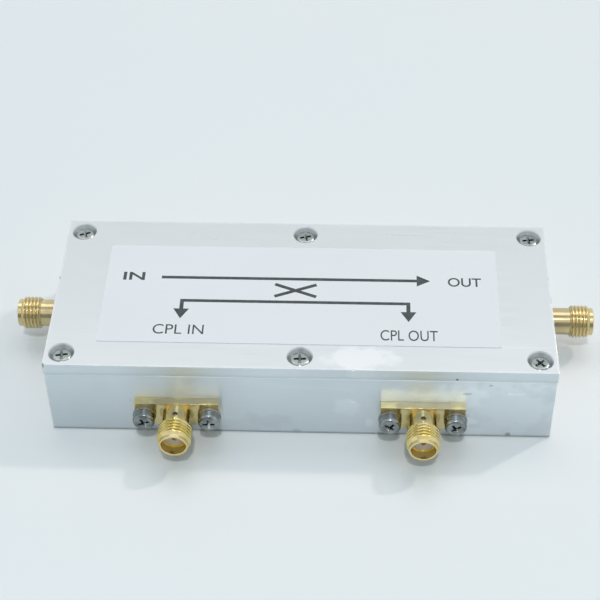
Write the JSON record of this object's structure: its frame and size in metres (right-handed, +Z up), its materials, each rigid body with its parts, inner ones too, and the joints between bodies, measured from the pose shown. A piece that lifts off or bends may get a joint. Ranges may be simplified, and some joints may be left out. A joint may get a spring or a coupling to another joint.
{
  "type": "directional coupler",
  "caption": "Milled aluminium box with a screwed lid and gold coaxial jacks on its ends and front; it samples the power that travels each way along a radio line.",
  "frame": {"origin": "centre of the case's underside", "axes": "+X along the main line from the input jack to the output jack, -Y towards the coupled jacks, +Z up through the lid"},
  "size_m": [0.114, 0.0491, 0.0181],
  "materials": {
    "bare_aluminium": "satin, bare",
    "gold_plating": "bright gold plate",
    "jack_insulator": "waxy white",
    "screw_steel": "satin",
    "board_laminate": "matt",
    "line_copper": "bare copper",
    "label_film": "satin film"
  },
  "bodies": {
    "root": {"housing": "bare_aluminium", "circuit_board": "board_laminate", "main_line": "line_copper", "coupled_line": "line_copper", "board_screws": "screw_steel", "input_jack_body": "gold_plating", "input_jack_insulator": "jack_insulator", "input_jack_contact": "gold_plating", "output_jack_body": "gold_plating", "output_jack_insulator": "jack_insulator", "output_jack_contact": "gold_plating", "coupled_in_jack_body": "gold_plating", "coupled_in_jack_insulator": "jack_insulator", "coupled_in_jack_contact": "gold_plating", "coupled_out_jack_body": "gold_plating", "coupled_out_jack_insulator": "jack_insulator", "coupled_out_jack_contact": "gold_plating", "lock_washers": "screw_steel", "flange_screws": "screw_steel", "lid": "bare_aluminium", "lid_screws": "screw_steel", "label": "label_film"}
  },
  "joints": []
}
